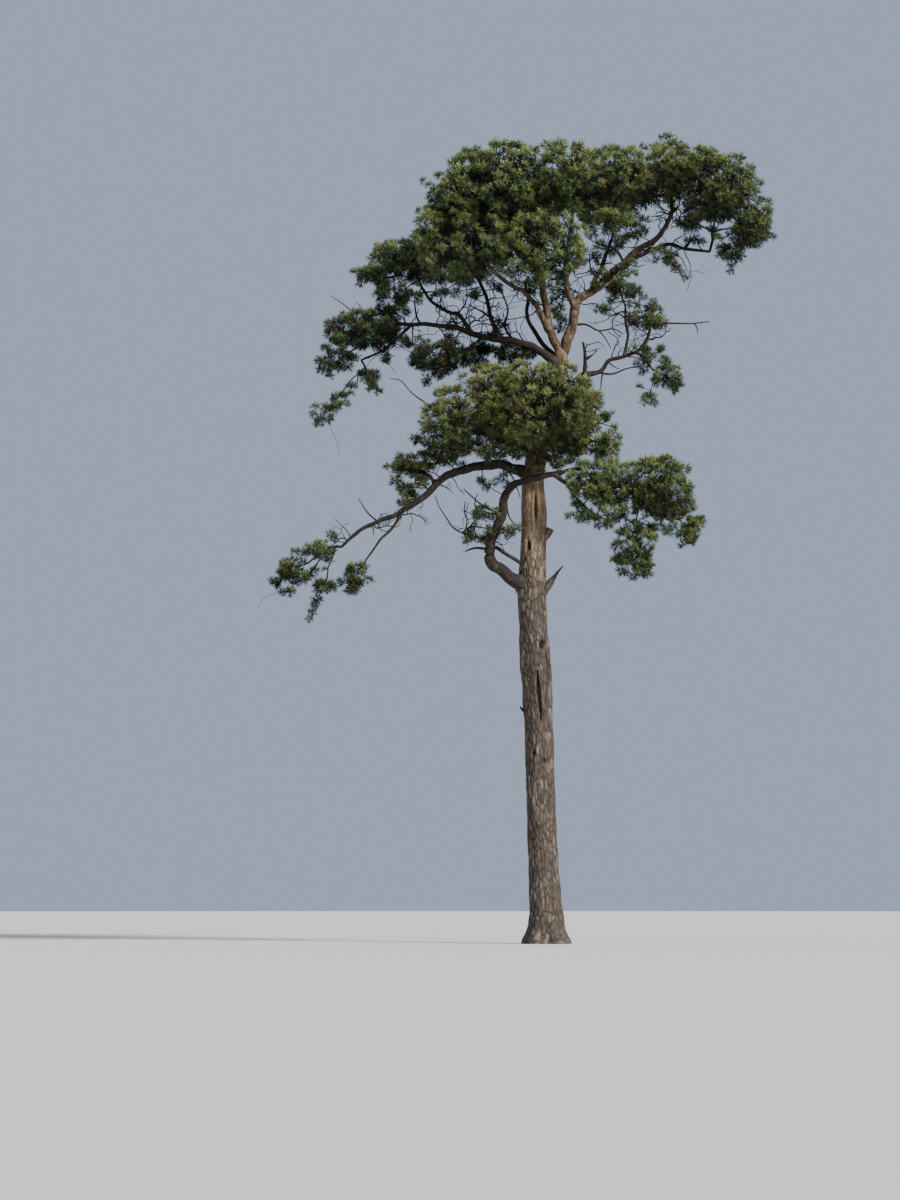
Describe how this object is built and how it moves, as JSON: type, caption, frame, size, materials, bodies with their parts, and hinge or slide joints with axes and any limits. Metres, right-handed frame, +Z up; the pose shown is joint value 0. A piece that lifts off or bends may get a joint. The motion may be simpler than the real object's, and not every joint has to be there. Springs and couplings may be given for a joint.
{
  "type": "scots pine tree",
  "caption": "Old Scots pine: a tall bare leaning trunk, forked high up, with crooked boughs that carry dense clouds of needles.",
  "frame": {"origin": "centre of the flat cut under the trunk, at ground level", "axes": "+Z straight up, +X to the right as pictured, -Y towards the viewer"},
  "size_m": [12.2269, 6.1924, 19.1022],
  "materials": {
    "trunk_bark": "thick grey-brown plated bark with dark fissures, warmer and smoother above ten metres",
    "bough_bark": "thin flaking orange-brown bark, rough",
    "foliage": "dull dark green to olive needles in tufts on brown twigs"
  },
  "bodies": {
    "root": {"back_left_bough": "bough_bark", "back_right_bough": "bough_bark", "centre_bough": "bough_bark", "cross_bough": "bough_bark", "cross_lower": "bough_bark", "cross_upper": "bough_bark", "front_skirt_mass": "foliage", "high_left_bough": "bough_bark", "inner_mass": "foliage", "inner_stem": "bough_bark", "left_front_mass": "foliage", "left_hang_bough": "bough_bark", "left_hang_mass": "foliage", "left_mid_mass": "foliage", "left_shoulder_mass": "foliage", "left_stem": "bough_bark", "long_bough": "bough_bark", "long_bough_mass": "foliage", "long_bough_outer": "bough_bark", "long_bough_spur": "bough_bark", "low_bough": "bough_bark", "low_bough_rise": "bough_bark", "low_twig": "bough_bark", "low_twig_mass": "foliage", "lower_right_inner_mass": "foliage", "lower_right_outer_mass": "foliage", "mid_back_mass": "foliage", "mid_front_mass": "foliage", "mid_left_mass": "foliage", "mid_right_mass": "foliage", "right_far_bough": "bough_bark", "right_hang_mass": "foliage", "right_hang_spur": "bough_bark", "right_high_mass": "foliage", "right_lower_bough": "bough_bark", "right_lower_mass": "foliage", "right_mid_bough": "bough_bark", "right_mid_mass": "foliage", "right_riser": "bough_bark", "right_stem": "bough_bark", "right_stub": "bough_bark", "right_tip_mass": "foliage", "riser_bough": "bough_bark", "shoulder_bough": "bough_bark", "skirt_bough": "bough_bark", "stub_stem": "bough_bark", "tip_bough_lower": "bough_bark", "tip_bough_upper": "bough_bark", "tip_left_low_mass": "foliage", "tip_left_mass": "foliage", "top_back_left_mass": "foliage", "top_back_right_mass": "foliage", "top_centre_mass": "foliage", "top_left_low_mass": "foliage", "top_left_mass": "foliage", "top_right_mass": "foliage", "trunk": "trunk_bark", "under_left_bough": "bough_bark", "under_left_mass": "foliage", "under_left_spur": "bough_bark"}
  },
  "joints": []
}
